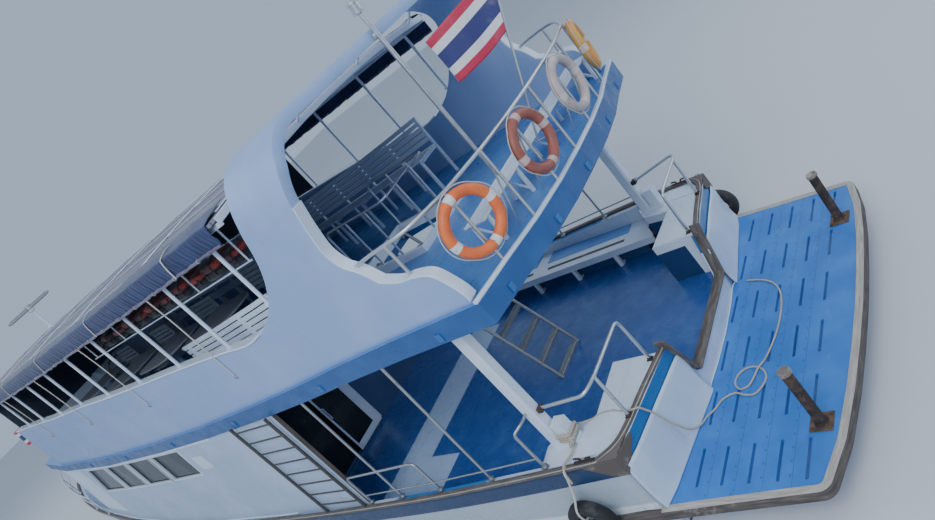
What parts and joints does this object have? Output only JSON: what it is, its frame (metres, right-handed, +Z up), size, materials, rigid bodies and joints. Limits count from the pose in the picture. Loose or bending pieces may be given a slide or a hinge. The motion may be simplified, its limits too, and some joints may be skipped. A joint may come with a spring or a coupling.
{
  "type": "passenger ferry boat",
  "caption": "Two-deck passenger boat with an open stern deck, roofed upper deck, curved stern arch, slotted swim platform, cabin and bow rail, afloat.",
  "frame": {"origin": "waterline, on the centreline, 11.4 m forward of the platform's aft corners", "axes": "+X forward along the boat, +Y to port, +Z up"},
  "size_m": [23.2861, 5.63, 7.615],
  "materials": {
    "hull_paint": "white gloss topsides over dark antifouling",
    "platform_paint": "bright blue deck paint, scuffed",
    "weathered_wood": "bare grey-brown wood, worn",
    "rusty_steel": "brown rusted steel",
    "white_paint": "white gloss paint on wood and steel",
    "navy_paint": "dark blue gloss paint",
    "stainless_steel": "satin stainless tube",
    "dark_glass": "tinted glass in dark frames",
    "varnished_wood": "varnished wood",
    "deck_paint": "blue deck and fascia paint",
    "pale_blue_paint": "pale blue semi-gloss paint",
    "roof_sheet": "grey ribbed roof sheet",
    "tarpaulin": "navy woven tarpaulin",
    "orange_foam": "orange plastic and foam, faded",
    "flag_cloth": "striped thin cloth",
    "bronze": "cast bronze",
    "black_rubber": "worn black rubber",
    "rope_fibre": "grey laid rope"
  },
  "bodies": {
    "hull": {"bitt_lashing": "rope_fibre", "boarding_ladder": "stainless_steel", "bollard_port": "rusty_steel", "bollard_starboard": "rusty_steel", "bow_bitt": "rusty_steel", "bow_flag": "flag_cloth", "bow_rail": "stainless_steel", "cabin_bulkhead_aft": "navy_paint", "cabin_bulkhead_front": "white_paint", "cabin_seats": "varnished_wood", "cabin_side_light": "dark_glass", "cabin_side_port": "white_paint", "cabin_side_starboard": "white_paint", "cabin_windows_front": "dark_glass", "cabin_windows_port": "dark_glass", "cabin_windows_starboard": "dark_glass", "fender_port": "black_rubber", "fender_starboard": "black_rubber", "gunwale_cap": "weathered_wood", "helm_console": "white_paint", "hull": "hull_paint", "life_jackets": "orange_foam", "lifebuoy_port_inner": "orange_foam", "lifebuoy_port_outer": "orange_foam", "lifebuoy_starboard_inner": "orange_foam", "lifebuoy_starboard_outer": "orange_foam", "locker_port": "white_paint", "locker_starboard": "white_paint", "mast": "stainless_steel", "mooring_rope": "rope_fibre", "quarter_rail_port": "stainless_steel", "quarter_rail_starboard": "stainless_steel", "roof": "roof_sheet", "roof_frame": "white_paint", "rubbing_strake": "weathered_wood", "side_bench": "white_paint", "side_rail_port": "stainless_steel", "side_rail_starboard": "stainless_steel", "side_wall_port": "pale_blue_paint", "side_wall_starboard": "pale_blue_paint", "stair": "stainless_steel", "stairwell_rail": "stainless_steel", "stern_arch": "pale_blue_paint", "stern_bench": "white_paint", "stern_flag": "flag_cloth", "stern_post_port": "white_paint", "stern_post_starboard": "white_paint", "stern_rail": "stainless_steel", "swim_platform": "platform_paint", "tarp_port": "tarpaulin", "tarp_starboard": "tarpaulin", "upper_deck": "deck_paint", "upper_front_wall": "white_paint", "upper_seating_port": "white_paint", "upper_seating_starboard": "white_paint"},
    "door": {"cabin_door": "dark_glass"},
    "rudder": {"rudder": "rusty_steel"},
    "propeller": {"propeller": "bronze"},
    "scanner": {"radar_scanner": "white_paint"},
    "wheel": {"steering_wheel": "varnished_wood"}
  },
  "joints": [
    {"name": "cabin_door_slide", "type": "slide", "parent": "hull", "child": "door", "axis": [0, 1, 0], "range_m": [0, 0.62]},
    {"name": "rudder_turn", "type": "hinge", "parent": "hull", "child": "rudder", "pos_m": [-9.9, 0, -0.6], "axis": [0, 0, 1], "range_deg": [-35, 35]},
    {"name": "propeller_spin", "type": "hinge", "parent": "hull", "child": "propeller", "pos_m": [-9.07, 0, -0.7], "axis": [1, 0, 0], "continuous": true},
    {"name": "scanner_spin", "type": "hinge", "parent": "hull", "child": "scanner", "pos_m": [5.45, 0, 6.44], "axis": [0, 0, 1], "continuous": true},
    {"name": "wheel_turn", "type": "hinge", "parent": "hull", "child": "wheel", "pos_m": [4.51, 0, 4.02], "axis": [1, 0, 0], "range_deg": [-545, 545]}
  ],
  "couplings": [
    {"joint": "wheel_turn", "follows": "rudder_turn", "ratio": 15.43}
  ]
}
